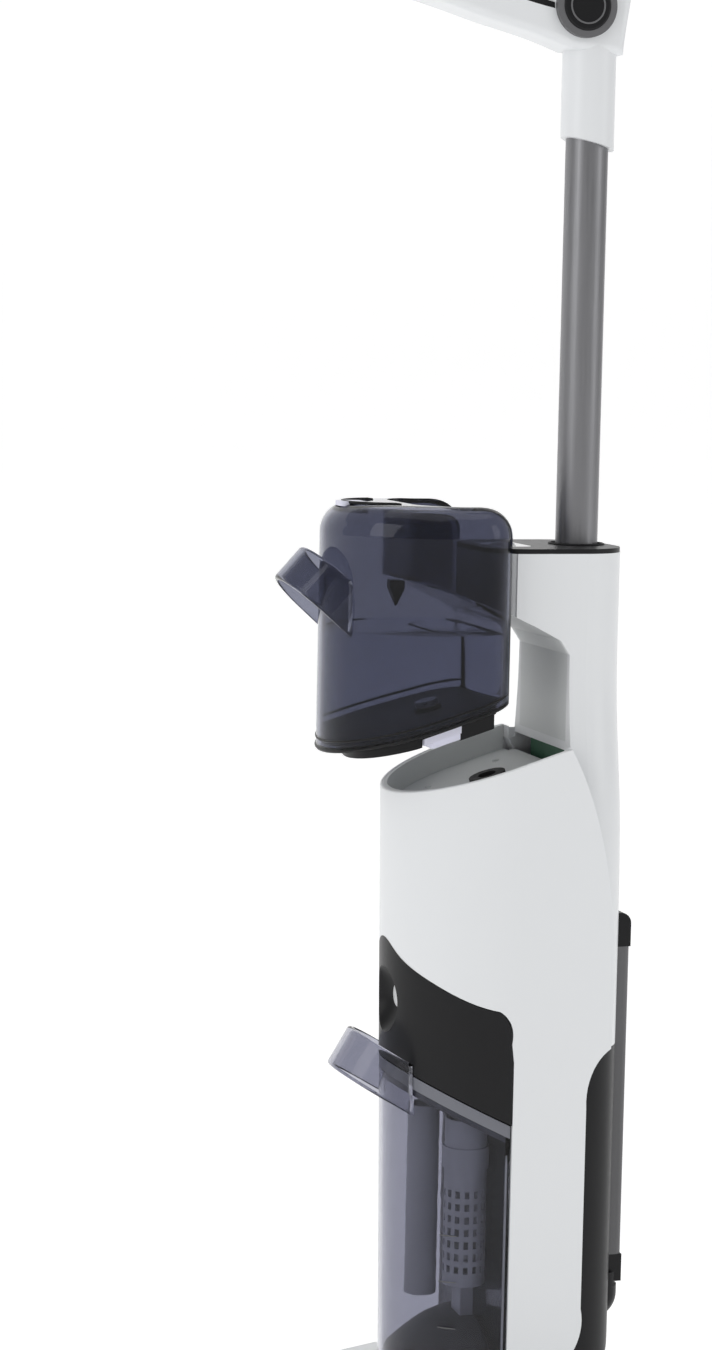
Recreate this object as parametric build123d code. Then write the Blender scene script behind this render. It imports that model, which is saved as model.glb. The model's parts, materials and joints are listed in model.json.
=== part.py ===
from build123d import *
import os
from math import atan2, cos, degrees, hypot, radians, sin, sqrt

os.makedirs("parts", exist_ok=True)

# Wet dry floor scrubber.  Millimetres, +Z up, front towards -X, floor at Z = 0.

# ---- floor head ----
HEAD_W = 286.0
ROLLER_X, ROLLER_Z = -99.0, 27.0
FLEECE_R, CORE_R, ROLLER_HALF = 26.5, 19.0, 122.0
COVER_R = 31.5
WHEEL_X, WHEEL_R, WHEEL_Y, WHEEL_T = 112.0, 20.0, 106.0, 24.0
NECK_X, NECK_Z = 62.0, 52.0
MOTOR_X, MOTOR_Z = -34.0, 36.0
# ---- body ----
BODY_R = 66.0             # half width and front radius
BODY_XC = 33.0            # centre of the front radius at mid height
LEAN = -0.0153            # forward lean of the front face
REAR_X = 112.0
BODY_BOTTOM = 100.0
PANEL_X = 32.5            # front edge of the side panels
WALL = 2.5
RIM_FRONT, RIM_SLOPE = 487.0, 0.32
BAND_SLOPE = -0.5
BAND_LOW = 298.0
COLUMN_TOP, COLUMN_HW = 639.5, 46.0
RECESS_X, HOOD_X = 70.0, 18.0
TRAY_DEPTH = 16.0
# ---- tanks ----
SEAT = (-40.5, 26.0)      # clean tank drawn out of its seat by this much
TANK_X0, TANK_X1, TANK_TOP = -38.0, 71.0, 643.0
TANK_REAR_R = 25.0
SLOT_HW = 50.5
DIRTY_R, DIRTY_Z0 = 64.5, 113.0
# ---- battery and handle ----
BATT_HW, BATT_X0, BATT_X1, BATT_Z0, BATT_Z1 = 32.0, 88.0, 122.5, 165.0, 408.0
TUBE_X, TUBE_R = 90.0, 13.5
HUB_X, HUB_Z, HUB_R = 80.0, 978.5, 19.7
LOOP_HW = 17.0

XZ = Plane((0, 0, 0), x_dir=(1, 0, 0), z_dir=(0, -1, 0))


def save(node, shape):
    shape.label = node
    export_step(shape, os.path.join("parts", node + ".step"))


def slab(x0, x1, y0, y1, z0, z1):
    return Pos((x0 + x1) / 2, (y0 + y1) / 2, (z0 + z1) / 2) * Box(x1 - x0, y1 - y0, z1 - z0)


def mid_slab(x0, x1, hw, z0, z1):
    return slab(x0, x1, -hw, hw, z0, z1)


def rod_y(x, z, r, y0, y1):
    return Pos(x, (y0 + y1) / 2, z) * Rot(90, 0, 0) * Cylinder(r, y1 - y0)


def rod_z(x, y, r, z0, z1):
    return Pos(x, y, (z0 + z1) / 2) * Cylinder(r, z1 - z0)


def rod_x(y, z, r, x0, x1):
    return Pos((x0 + x1) / 2, y, z) * Rot(0, 90, 0) * Cylinder(r, x1 - x0)


def side_face(points):
    return make_face(Polyline(*[(x, z) for x, z in points], close=True))


def across(face, hw, y=0.0):
    """Side-view face (x, z) given a width 2 hw centred on y."""
    return Pos(0, y, 0) * extrude(XZ * face, hw, both=True)


def both_sides(shape):
    return shape + mirror(shape, Plane.XZ)


def d_plan(xc, r, x1, rear_r):
    """Plan outline: half circle in front, flat sides, rounded rear corners."""
    nose = Pos(xc, 0) * Circle(r)
    if x1 <= xc:
        return nose & Pos(x1 - 200, 0) * Rectangle(400, 400)
    block = Pos((xc + x1) / 2, 0) * Rectangle(x1 - xc, 2 * r)
    if rear_r > 0:
        block = fillet(block.vertices().group_by(Axis.X)[-1], rear_r)
    return (nose & Pos(xc - 200, 0) * Rectangle(400, 400)) + block


def front_xc(z):
    return BODY_XC + LEAN * (z - 350.0)


def leaning(r, x1, z0, z1, rear_r=0.0, shift=0.0):
    """Prism on the D outline whose front follows the leaning front face."""
    ends = [Pos(0, 0, z) * d_plan(front_xc(z) + shift, r, x1, rear_r) for z in (z0, z1)]
    return loft(ends, ruled=True)


def rim_z(x):
    return RIM_FRONT + RIM_SLOPE * (x + 34.0)


def band_z(x, level):
    return level + BAND_SLOPE * x


# ================= floor head =================
wall_l = slab(-128, -56, -HEAD_W / 2, -127, 6, 60)
wall_r = slab(-128, -20, 127, HEAD_W / 2, 6, 60)
walls = wall_l + wall_r
walls = fillet(walls.edges().filter_by(Axis.Y).group_by(Axis.X)[0], 12)
floor_plate = slab(-62, 86, -140, 140, 8, 12)
floor_plate = fillet(floor_plate.edges().filter_by(Axis.Z).group_by(Axis.X)[-1], 14)
base = walls + floor_plate + slab(-65, -62, -127.5, 127.5, 8, 54)
base -= slab(76, 90, -82, 82, 0, 60)
base -= slab(36, 90, -82, -50, 0, 60) + slab(36, 90, 50, 82, 0, 60)
cheek = rod_y(NECK_X, NECK_Z, 18, 36, 46) + slab(NECK_X - 18, NECK_X + 14, 36, 46, 10, NECK_Z)
cheek -= rod_y(NECK_X, NECK_Z, 8, 35, 47)
base += both_sides(cheek)
arm = slab(70, 118, WHEEL_Y - 20, WHEEL_Y - 13, 8, 12) + slab(86.4, 118, WHEEL_Y - 20, WHEEL_Y - 13, 8, 30)
arm += rod_y(118, WHEEL_R, 10, WHEEL_Y - 20, WHEEL_Y - 13)
arms = arm + Pos(0, 33, 0) * arm
arms -= rod_y(WHEEL_X, WHEEL_R, 3.03, 80, 130)
base += both_sides(arms)
base -= rod_y(ROLLER_X, ROLLER_Z, 28, -150, -120)                      # roller way out
base -= slab(-118, -23, 130, 140, 10.5, 48)                              # belt case
base -= rod_y(ROLLER_X, ROLLER_Z, 8.05, 120, 131)
base -= rod_y(MOTOR_X, MOTOR_Z, 2.55, 120, 131)
mouth_x0, mouth_x1 = -65.5, -22.0
base -= mid_slab(mouth_x0, -61.5, 34, 13, 38)
save("head_base", base)

belt_face = make_hull([*(Pos(ROLLER_X, ROLLER_Z) * Circle(15.8)).edges(),
                       *(Pos(MOTOR_X, MOTOR_Z) * Circle(9.8)).edges()])
belt_core = make_hull([*(Pos(ROLLER_X, ROLLER_Z) * Circle(14.1)).edges(),
                       *(Pos(MOTOR_X, MOTOR_Z) * Circle(8.1)).edges()])
save("drive_belt", across(belt_face - belt_core, 3, 135))

cover_side = [(-61.5, 12), (-61.5, 56), (-30, 70), (10, 76), (58, 74), (84, 60), (86, 34), (86, 12)]
cover_face = side_face(cover_side)
head_cover = across(cover_face, 140) - slab(36, 100, -82, 82, 0, 100)
head_cover = fillet(head_cover.edges().filter_by(Axis.Z).group_by(Axis.X)[-1], 9)
cover_inner = side_face([(-59, -5), (-59, 54.3), (-29.4, 67.6), (10.1, 73.6), (57.6, 71.6), (82, 58.6),
                         (83.6, 34), (83.6, -5)])
head_cover -= across(cover_inner, 137.4) - slab(33.5, 100, -84.5, 84.5, -10, 100)
head_cover -= slab(-70, -19, 126.5, 150, 0, 60.5) + slab(-70, -55, -150, -126.5, 0, 60.5)
head_cover -= mid_slab(20, 40, 36, 0, 62) + mid_slab(-70, -58, 35, 0, 39)
save("head_cover", head_cover)

arc_outer = Circle(COVER_R) - Circle(COVER_R - WALL)
arc_keep = side_face([(0, 0), (0, 60), (-60, 60), (-60, -5), (-28, -5)])
lip = Pos(18, COVER_R - WALL / 2) * Rectangle(36, WALL)
cover_profile = Pos(ROLLER_X, ROLLER_Z) * ((arc_outer & arc_keep) + lip)
brush_cover = across(cover_profile, 126.5)
tab_x = ROLLER_X - 6
brush_cover += mid_slab(tab_x - 9, tab_x + 9, 22, 55, 60.5)
bumper = (Circle(COVER_R + 3) - Circle(COVER_R - 1)) & side_face([(-20, 14), (-60, 20), (-60, -4), (-20, -4)])
brush_cover += across(Pos(ROLLER_X, ROLLER_Z) * bumper, 126.5)
save("brush_cover", brush_cover)

core = rod_y(ROLLER_X, ROLLER_Z, CORE_R, -ROLLER_HALF, ROLLER_HALF)
core -= rod_y(ROLLER_X, ROLLER_Z, 8.05, 108, 130) + rod_y(ROLLER_X, ROLLER_Z, 6.05, -130, -100)
core -= rod_y(ROLLER_X, ROLLER_Z, 15, -95, 103)
save("brush_core", core)
fleece = rod_y(ROLLER_X, ROLLER_Z, FLEECE_R, -ROLLER_HALF, ROLLER_HALF)
fleece -= rod_y(ROLLER_X, ROLLER_Z, CORE_R, -ROLLER_HALF, ROLLER_HALF)
save("brush_fleece", fleece)
end_cap = rod_y(ROLLER_X, ROLLER_Z, 27.6, -141, -127.2) - rod_y(ROLLER_X, ROLLER_Z, 22, -142, -131)
end_cap += rod_y(ROLLER_X, ROLLER_Z, 6, -128, -102)
end_cap += slab(ROLLER_X - 21, ROLLER_X + 21, -139, -131, ROLLER_Z - 2.5, ROLLER_Z + 2.5)
end_cap -= slab(-140, -60, -150, -120, -5, 0.5)
save("brush_end_cap", end_cap)
dog = rod_y(ROLLER_X, ROLLER_Z, 8, 110, 132) + rod_y(ROLLER_X, ROLLER_Z, 14, 131.5, 138.5)
save("brush_drive_dog", dog)

motor = rod_y(MOTOR_X, MOTOR_Z, 17, 62, 126.8) - rod_y(MOTOR_X, MOTOR_Z, 2.55, 70, 130)
motor += slab(MOTOR_X - 17, MOTOR_X + 17, 70, 118, 12, 30) - rod_y(MOTOR_X, MOTOR_Z, 3, 60, 130)
save("brush_motor", motor)
pulley = rod_y(MOTOR_X, MOTOR_Z, 2.5, 90, 131) + rod_y(MOTOR_X, MOTOR_Z, 8, 131, 138.5)
save("motor_pulley", pulley)

save("scraper_blade", slab(-75.2, -65.3, -118, 118, 41, 44))
spray = rod_y(-72, 49, 3, -112, 112) - rod_y(-72, 49, 1.8, -110, 110)
spray += slab(-72, -65.1, -6, 6, 47, 51) - rod_y(-72, 49, 2.5, -20, 20)
for k in range(9):
    spray -= Pos(-74, -96 + 24 * k, 47) * Rot(0, 40, 0) * Cylinder(0.6, 8)
save("spray_bar", spray)
mouth = mid_slab(mouth_x0 + 0.3, mouth_x1, 33.9, 13.1, 37.9) - mid_slab(-70, -24, 31.5, 15.5, 35.5)
mouth += rod_x(0, 28, 14, -23, 38) - rod_x(0, 28, 11.5, -30, 40) - slab(-30, 40, -20, 20, 0, 12)
mouth -= rod_x(0, 25.5, 10, -26, -20)
save("suction_mouth", mouth)

pads = both_sides(slab(-58, -44, 92, 118, 0, 8))
pads = fillet(pads.edges().filter_by(Axis.Z), 4)
save("glide_pads", pads)
contacts = both_sides(slab(20, 32, 12, 20, 6.8, 8))
save("charge_contacts", contacts)
screws = [rod_z(x, y, 3.2, 6.4, 8) - rod_z(x, y, 1.4, 6, 7.4)
          for x, y in [(-50, 70), (-50, -70), (10, 120), (10, -120), (70, 132), (70, -132)]]
save("head_screws", Compound(children=screws))


def wheel_parts(side):
    y = side * WHEEL_Y
    hub = rod_y(WHEEL_X, WHEEL_R, 15, y - 12, y + 12)
    for s in (-1, 1):
        hub -= rod_y(WHEEL_X, WHEEL_R, 12, y + s * 14 - 4, y + s * 14 + 4) - rod_y(
            WHEEL_X, WHEEL_R, 6, y - 14, y + 14)
    hub += rod_y(WHEEL_X, WHEEL_R, 3, y - 20, y + 20)
    tyre = rod_y(WHEEL_X, WHEEL_R, WHEEL_R, y - 12, y + 12) - rod_y(WHEEL_X, WHEEL_R, 15, y - 13, y + 13)
    tyre = fillet(tyre.edges().filter_by(GeomType.CIRCLE).group_by(SortBy.RADIUS)[-1], 3)
    return hub, tyre


for name, side in (("left", -1), ("right", 1)):
    hub, tyre = wheel_parts(side)
    save("wheel_hub_" + name, hub)
    save("wheel_tyre_" + name, tyre)

# ================= neck =================
yoke = rod_y(NECK_X, NECK_Z, 16, -35, 35) + rod_y(NECK_X, NECK_Z, 7.95, -46.5, 46.5)
yoke += rod_z(NECK_X, 0, 19.95, NECK_Z, 114)
yoke += rod_z(NECK_X, 0, 22.5, 112.1, 115.2)                            # swivel retaining flange
yoke -= rod_z(NECK_X, 0, 14, NECK_Z - 2, 116) + rod_x(0, 44, 9, 40, NECK_X)
save("neck_yoke", yoke)

# ================= body =================
# side view of the white shell, with the crease against the rear shell
BAND_ARCH = [(-45, 420), (-33, 391), (-29.5, 383), (-20.5, 374.3), (-13.3, 369.6), (-1, 362.9), (22.8, 355)]


def shell_profile(i):
    """Side outline of the white shell, drawn in from its edges by i."""
    arch = [(x, z + i) for x, z in BAND_ARCH]
    rim = [(-45, rim_z(-45) - i), (66 - i, rim_z(66 - i) - i)]
    crease = Spline(rim[1], (77 - i, 496 - i), (84 - i, 476), (90.5 - i, 450), (95.3 - i, 420),
                    (97.9 - i, 372.2), (97.3 - i, 328 + i))
    rear_low = Spline((97.3 - i, 328 + i), (90 - i, 321.2 + i), (83.6 - i, 308.7), (81.6 - i, 290))
    foot = Spline((81.6 - i, 160), (78 - i, 134 + i), (62 - i, 117 + i), (PANEL_X + 6 + i, 112 + i))
    notch = Spline(arch[-1], (29.5 + i, 348), (PANEL_X - 1.5 + i, 334))
    return make_face([
        Line(*rim), crease, rear_low, Line((81.6 - i, 290), (81.6 - i, 160)), foot,
        Polyline((PANEL_X + 6 + i, 112 + i), (PANEL_X + i, 116 + i), (PANEL_X + i, 322),
                 (PANEL_X - 1.5 + i, 334)),
        notch, Spline(*arch), Line(arch[0], rim[0])])


shell_face = shell_profile(0)
panel_body = leaning(BODY_R, 110, 100, 540)
panel_void = leaning(BODY_R - WALL, 110, 100, 540)

# space swept by the clean tank: above the rim, in front of the recess, under the hood
under_hood = [(-200, rim_z(-200)), (RECESS_X, rim_z(RECESS_X)), (RECESS_X, 576), (64, 585),
              (48, 593.5), (30, 602), (HOOD_X, 607), (-200, 607)]
tank_space = side_face(under_hood)


def column(inset):
    """Rear shell: narrow at the top, flaring smoothly into the body."""
    low, high = 61.0 - inset, COLUMN_HW - inset
    flare = [(low, 390), (low - 0.8, 440), (low - 3.4, 480), (high + 6.6, 512), (high + 1.6, 545), (high, 580)]
    right = [Line((low, 100), (low, 390)), Spline(*flare, tangents=((0, 1), (0, 1))),
             Line((high, 580), (high, COLUMN_TOP))]
    left = [mirror(edge, Plane.YZ) for edge in right]
    outline = make_face([*right, *left, Line((-low, 100), (low, 100)),
                         Line((-high, COLUMN_TOP), (high, COLUMN_TOP))])
    body = extrude(Plane.YZ.offset(34) * outline, REAR_X - inset - 34)
    corners = [e for e in body.edges() if e.center().X > REAR_X - inset - 0.5
               and abs(e.center().Y) > high - 1 and e.bounding_box().size.Z > 20]
    return fillet(corners, 31 - inset)


hood = extrude(Pos(0, 0, 560) * d_plan(HOOD_X + 30, COLUMN_HW, 60, 0), COLUMN_TOP - 560)
hood = (hood & mid_slab(HOOD_X, 60, 60, 500, 700)) & extrude(
    Pos(0, 0, 560) * (Pos(HOOD_X + 50, 0) * RectangleRounded(100, 2 * COLUMN_HW, 26)), 100)
column_out = (column(0) & mid_slab(34, 120, 80, 326, COLUMN_TOP)) + hood
column_out -= across(tank_space, 90)
column_in = column(WALL) & mid_slab(40, 120, 80, 320, COLUMN_TOP - 3)
hood_in = extrude(Pos(0, 0, 590) * (Pos(HOOD_X + 50, 0) * RectangleRounded(94, 2 * COLUMN_HW - 6, 23)), 44)
column_in += hood_in & mid_slab(HOOD_X + 3, 76, 60, 590, COLUMN_TOP - 3)
column_in -= across(offset(tank_space, 4.6), 90) & slab(-200, 90, -90, 90, rim_z(RECESS_X) - 60, 650)
panel_in = across(shell_profile(WALL), 90) & panel_void
open_top = leaning(BODY_R - WALL, RECESS_X, 450, 560) & slab(-200, RECESS_X, -90, 90, 480, 560)
open_top &= across(side_face([(-200, rim_z(-200) - 8), (RECESS_X, rim_z(RECESS_X) - 8), (RECESS_X, 560),
                              (-200, 560)]), 90)
rim_corners = both_sides(slab(65.9, 80, 51.5, 70, 440, 600))
open_top -= rim_corners
main_shell = ((across(shell_face, 90) & panel_body) + column_out) - panel_in - column_in - open_top
main_shell -= mid_slab(30, 77, BODY_R - WALL, 100, 326) + mid_slab(76, 110, 61.05, 100, 326)
main_shell -= leaning(BODY_R - WALL, 76, 300, 420)
batt_bay = mid_slab(BATT_X0 - 2.2, 140, BATT_HW + 2.4, BATT_Z0 - 2.4, BATT_Z1 + 2.4)
main_shell -= batt_bay
liner_face = (offset(tank_space, 2.0) - tank_space) & side_face(
    [(HOOD_X + 6, 575), (RECESS_X - 0.1, 575), (RECESS_X - 0.1, 521), (90, 521), (90, 650), (HOOD_X + 6, 650)])
liner = across(liner_face, 42) & (column_out)
main_shell -= liner
main_shell -= rod_z(TUBE_X, 0, 16.1, 555, 700)
save("main_shell", main_shell)

# black lower pod
pod_mask = fillet(fillet(Rectangle(152, 240).vertices().group_by(Axis.X)[-1].group_by(Axis.Y)[0], 46)
                  .vertices().group_by(Axis.X)[0].group_by(Axis.Y)[0], 14)
pod_mask = Pos(REAR_X - 76, BODY_BOTTOM + 120) * pod_mask
pod_out = column(0) & mid_slab(79.2, 120, 80, 108, 326)
pod_out += extrude(Pos(0, 0, BODY_BOTTOM) * d_plan(front_xc(100) + 1, 63, REAR_X, 32), 12)
pod_out &= across(pod_mask, 90)
pod_in = column(3) & mid_slab(76, 120, 80, 112, 323)
cup = mid_slab(100, 121, 36, 140, 172)
cup = fillet(cup.edges().filter_by(Axis.Y).group_by(Axis.Z)[0].group_by(Axis.X)[-1], 17)
cup = fillet(cup.edges().filter_by(Axis.X).group_by(Axis.Z)[0], 10)
lower_pod = (pod_out - pod_in) + (cup - pod_in)
lower_pod -= batt_bay + rod_z(NECK_X, 0, 20, 90, 130)
socket = rod_z(NECK_X, 0, 27, 88, 112) - rod_z(NECK_X, 0, 20, 80, 120)
lower_pod += socket
save("lower_pod", lower_pod)

# inner frame: wall behind the dirty tank and floor over it
frame = mid_slab(PANEL_X + 3.6, PANEL_X + 6.6, 61, 112, 283)
roof = across(side_face([(-45, band_z(-45, BAND_LOW) + 1), (PANEL_X + 6.6, band_z(PANEL_X + 6.6, BAND_LOW) + 1),
                         (PANEL_X + 6.6, band_z(PANEL_X + 6.6, BAND_LOW) + 4),
                         (-45, band_z(-45, BAND_LOW) + 4)]), 90)
frame += roof & leaning(BODY_R - 4.2, 60, 200, 420)
for side in (-1, 1):
    frame += slab(PANEL_X + 6, 76, side * 52 - 1.5, side * 52 + 1.5, 112, 283)
    frame += slab(74, 84, side * 52 - 1.5, side * 52 + 1.5, 160, 283)
frame += mid_slab(82.5, BATT_X0 - 1, 53.5, BATT_Z0 - 2.3, 283)
cradle = mid_slab(BATT_X0 - 2.1, 104, BATT_HW + 2.3, BATT_Z0 - 2.3, BATT_Z1 + 2.3)
frame += cradle
frame -= mid_slab(BATT_X0 - 0.1, 130, BATT_HW + 0.3, BATT_Z0 - 0.3, BATT_Z1 + 0.3)
frame -= rod_x(-24, 250, 9, 30, 45)
frame -= rod_z(14.5, -30, 16, 200, 400)
save("inner_frame", frame)

# black motor band
band_low = [(-45, band_z(-45, BAND_LOW)), (PANEL_X - 0.6, band_z(PANEL_X - 0.6, BAND_LOW))]
arch = [(x, z - 0.5) for x, z in BAND_ARCH]
band_face = make_face([
    Polyline((PANEL_X - 0.5, 321.5), (PANEL_X - 0.5, band_z(PANEL_X - 0.5, BAND_LOW)), band_low[0], arch[0]),
    Spline(*arch), Spline(arch[-1], (28.8, 347.5), (PANEL_X - 1.9, 333.5)),
    Line((PANEL_X - 1.9, 333.5), (PANEL_X - 0.5, 321.5))])
band = (across(band_face, 90) & leaning(BODY_R, 60, 200, 420)) - leaning(BODY_R - 3.5, 60, 190, 430)
dish_c = (front_xc(350) - BODY_R - 11, 0, 352)
dish = Pos(*dish_c) * Sphere(24)
dish_shell = Pos(*dish_c) * Sphere(26.5) & leaning(BODY_R - 1, 60, 200, 420)
band = (band + dish_shell) - dish
release_x = front_xc(350) - BODY_R + 8.5
band -= rod_x(0, 354, 8.1, -60, 0)
save("front_band", band)
button = rod_x(0, 354, 8, release_x, release_x + 10)
button = fillet(button.edges().group_by(Axis.X)[0], 1.5)
save("dirty_release_button", button)

# tray under the clean tank
tray_cut = side_face([(-60, rim_z(-60) - TRAY_DEPTH), (RECESS_X - 0.2, rim_z(RECESS_X) - TRAY_DEPTH),
                      (RECESS_X - 0.2, 600), (-60, 600)])
tray_keep = side_face([(-60, rim_z(-60) - TRAY_DEPTH - 2.2), (RECESS_X - 0.2, rim_z(RECESS_X) - TRAY_DEPTH - 2.2),
                       (RECESS_X - 0.2, rim_z(RECESS_X)), (-60, rim_z(-60))])
tray = (across(tray_keep, 90) & leaning(BODY_R - WALL, RECESS_X - 0.2, 400, 560, 0))
tray -= across(tray_cut, 90) & leaning(BODY_R - WALL - 2, RECESS_X - 0.2, 400, 600, 0)
tray -= both_sides(slab(65.8, 80, 51.4, 70, 440, 600))
port_x = 34.0
port_z = rim_z(port_x) - TRAY_DEPTH
port_tilt = degrees(atan2(RIM_SLOPE, 1))
port = Pos(port_x, 0, port_z) * Rot(0, -port_tilt, 0)
tray -= port * Cylinder(7, 20)
tray -= Pos(-14, 0, rim_z(-14) - TRAY_DEPTH) * Rot(0, -port_tilt, 0) * Cylinder(2.2, 20)
save("tank_tray", tray + liner)
seal = port * (Pos(0, 0, 1.4) * Cylinder(12, 2.4) + Pos(0, 0, -2) * Cylinder(6.95, 6.4))
seal -= port * Cylinder(6, 20)
save("water_inlet_seal", seal)

# top plate, collar and socket of the tube
plate_plan = Pos((HOOD_X + REAR_X) / 2, 0) * RectangleRounded(REAR_X - HOOD_X, 2 * COLUMN_HW, 26)
plate_plan &= Pos((HOOD_X + REAR_X) / 2 - 30, 0) * RectangleRounded(REAR_X - HOOD_X + 60, 2 * COLUMN_HW, 32)
top_plate = extrude(Pos(0, 0, COLUMN_TOP) * plate_plan, 3.0) - rod_z(TUBE_X, 0, 16.1, 600, 700)
top_plate -= extrude(Pos(40, 0, COLUMN_TOP + 1.2) * RectangleRounded(26, 44, 6), 5)
save("top_plate", top_plate)
save("display_lens", extrude(Pos(40, 0, COLUMN_TOP + 1.2) * RectangleRounded(26, 44, 6), 1.8))
collar = rod_z(TUBE_X, 0, 16, 560, 641.5) - rod_z(TUBE_X, 0, TUBE_R + 0.05, 564, 650)
save("tube_socket", collar)

# works inside the body
suction = rod_z(24, 0, 38, 366, 452) - rod_z(24, 0, 34.5, 369, 396)
suction -= rod_z(24, 0, 18, 360, 372) + rod_z(24, 0, 3.05, 390, 440)
for k in range(12):
    suction -= Pos(24, 0, 440) * Rot(0, 0, 30 * k) * slab(30, 40, -3, 3, -8, 8)
save("suction_motor", suction)
impeller = rod_z(24, 0, 33.5, 373, 375) + rod_z(24, 0, 3, 372, 430) + rod_z(24, 0, 8, 374, 392)
for k in range(9):
    impeller += Pos(24, 0, 0) * Rot(0, 0, 40 * k) * slab(7, 33, -0.8, 0.8, 375, 390)
save("suction_impeller", impeller)
pump = slab(66, 88, -50, -22, 424, 450) + rod_z(77, -36, 9, 450, 464) + rod_x(-36, 437, 3, 58, 67)
pump += rod_z(port_x, 0, 4.5, port_z - 20, port_z - 9) + rod_y(port_x, port_z - 20, 4, -36, 0)
pump += rod_x(-36, port_z - 20, 4, port_x, 72)
save("water_pump", pump)
board = slab(76, 77.6, -36, 36, 470, 552)
board += slab(77.6, 84, -20, -4, 480, 496) + slab(77.6, 82, 6, 28, 500, 522)
board += rod_x(-14, 520, 5, 77.6, 86) + rod_x(14, 540, 5, 77.6, 86)
save("control_board", board)
duct = slab(42, 60, -16, 16, 116, 270) - slab(44, 58, -14, 14, 118, 290)
duct += rod_x(-24, 250, 8.9, 32.4, 44) + slab(42, 60, -34, -14, 238, 262)
duct -= rod_x(-24, 250, 7, 30, 58) + slab(44, 58, -32, -13, 240, 260) + rod_z(NECK_X - 10, 0, 7, 110, 120)
save("dirty_air_duct", duct)

# battery pack


def battery_block(z0, z1):
    return mid_slab(BATT_X0, BATT_X1, BATT_HW, z0, z1)


CAP_T, CAP_B = 22.0, 18.0
cap_top = battery_block(BATT_Z1 - CAP_T, BATT_Z1)
cap_top = fillet(cap_top.edges().filter_by(Axis.Y).group_by(Axis.X)[-1].group_by(Axis.Z)[-1], 7)
cap_top -= mid_slab(BATT_X1 - 7.5, BATT_X1 + 1, 10.05, BATT_Z1 - 17, BATT_Z1 - 6)
save("battery_cap_top", cap_top)
latch = mid_slab(BATT_X1 - 6, BATT_X1 + 0.8, 10, BATT_Z1 - 16.95, BATT_Z1 - 6.05)
save("battery_latch", latch)
case = battery_block(BATT_Z0 + CAP_B, BATT_Z1 - CAP_T)
case = fillet(case.edges().filter_by(Axis.Z).group_by(Axis.X)[-1], 4)
case -= mid_slab(BATT_X0 + 2, BATT_X1 - 2, BATT_HW - 2, BATT_Z0 + CAP_B + 1, BATT_Z1 - CAP_T - 1)
save("battery_case", case)
cap_bottom = battery_block(BATT_Z0, BATT_Z0 + CAP_B)
cap_bottom -= mid_slab(BATT_X0 - 1, BATT_X0 + 3, 14, BATT_Z0 + 3, BATT_Z0 + 9)
save("battery_cap_bottom", cap_bottom)
cells = [rod_z(105.2, y, 9.2, z, z + 64) for y in (-19, 0, 19) for z in (186, 252, 318)]
save("battery_cells", Compound(children=cells))

# ================= clean tank (drawn in its seat, then moved out) =================
SX, SZ = SEAT
OUT = Pos(SX, 0, SZ)
tank_xc = TANK_X0 + BODY_R


def tank_bottom(x, gap=1.0):
    return rim_z(x) + gap


def tank_solid(inset):
    r = BODY_R - inset
    plan = d_plan(tank_xc, r, TANK_X1 - inset, max(TANK_REAR_R - inset, 2))
    body = extrude(Pos(0, 0, 470) * plan, TANK_TOP - inset - 470)
    body = fillet(body.edges().group_by(Axis.Z)[-1], 19 - inset)
    lift = 1.03 * inset
    under = side_face([(-150, 400), (150, 400), (150, tank_bottom(150) + lift),
                       (-150, tank_bottom(-150) + lift)])
    return body - across(under, 90)


def slot_solid(grow):
    pts = [(TANK_X1 + 30, 570 - grow), (TANK_X1 - 3, 570 - grow), (63, 575.5 - grow), (46, 584 - grow),
           (28, 592.5 - grow), (HOOD_X - 6 - grow, 598 - grow), (HOOD_X - 6 - grow, 700), (TANK_X1 + 30, 700)]
    block = across(side_face(pts), SLOT_HW + grow)
    corner = extrude(Pos(0, 0, 500) * (Pos(HOOD_X - 6 - grow + 80, 0) * RectangleRounded(
        160, 2 * (SLOT_HW + grow), 26 + grow)), 300)
    back = mid_slab(RECESS_X - 1.5 - grow, TANK_X1 + 30, SLOT_HW + grow, 450, 700)
    return (block & corner) + back


tank_out = tank_solid(0) - slot_solid(0)
tank_in = tank_solid(2.4) - slot_solid(2.4)
valve = Pos(port_x, 0, rim_z(port_x)) * Rot(0, -port_tilt, 0)
neck_hole = valve * Pos(0, 0, 2) * Cylinder(8.05, 12)
tank_shell = tank_out - tank_in - neck_hole
latch_x, latch_hw = TANK_X0 + 17.0, 9.0
latch_well = Pos(latch_x, 0, TANK_TOP - 6.4) * extrude(RectangleRounded(20, 2 * latch_hw + 4, 5), 6)
tank_shell = tank_shell + (latch_well & tank_solid(0)) - Pos(
    latch_x, 0, TANK_TOP - 4.4) * extrude(RectangleRounded(16.2, 2 * latch_hw + 0.2, 4), 12)
save("clean_tank_shell", OUT * tank_shell)
latch_pad = Pos(latch_x, 0, TANK_TOP - 2.2) * extrude(RectangleRounded(16.1, 2 * latch_hw + 0.1, 4), 3.0)
save("clean_tank_latch", OUT * latch_pad)


def strap(half_w, height, wall):
    """Bowed grip: a rounded U standing out in front of a tank, tip at x = -half_w."""
    def u_shape(hw):
        return Circle(hw) + Pos(40, 0) * Rectangle(80, 2 * hw)
    band = extrude(u_shape(half_w), height / 2, both=True)
    band = fillet(band.edges().filter_by(lambda e: e.length > 60 and abs(e.center().X) < 60), 2.2)
    return band - extrude(u_shape(half_w - wall), height, both=True)


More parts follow.
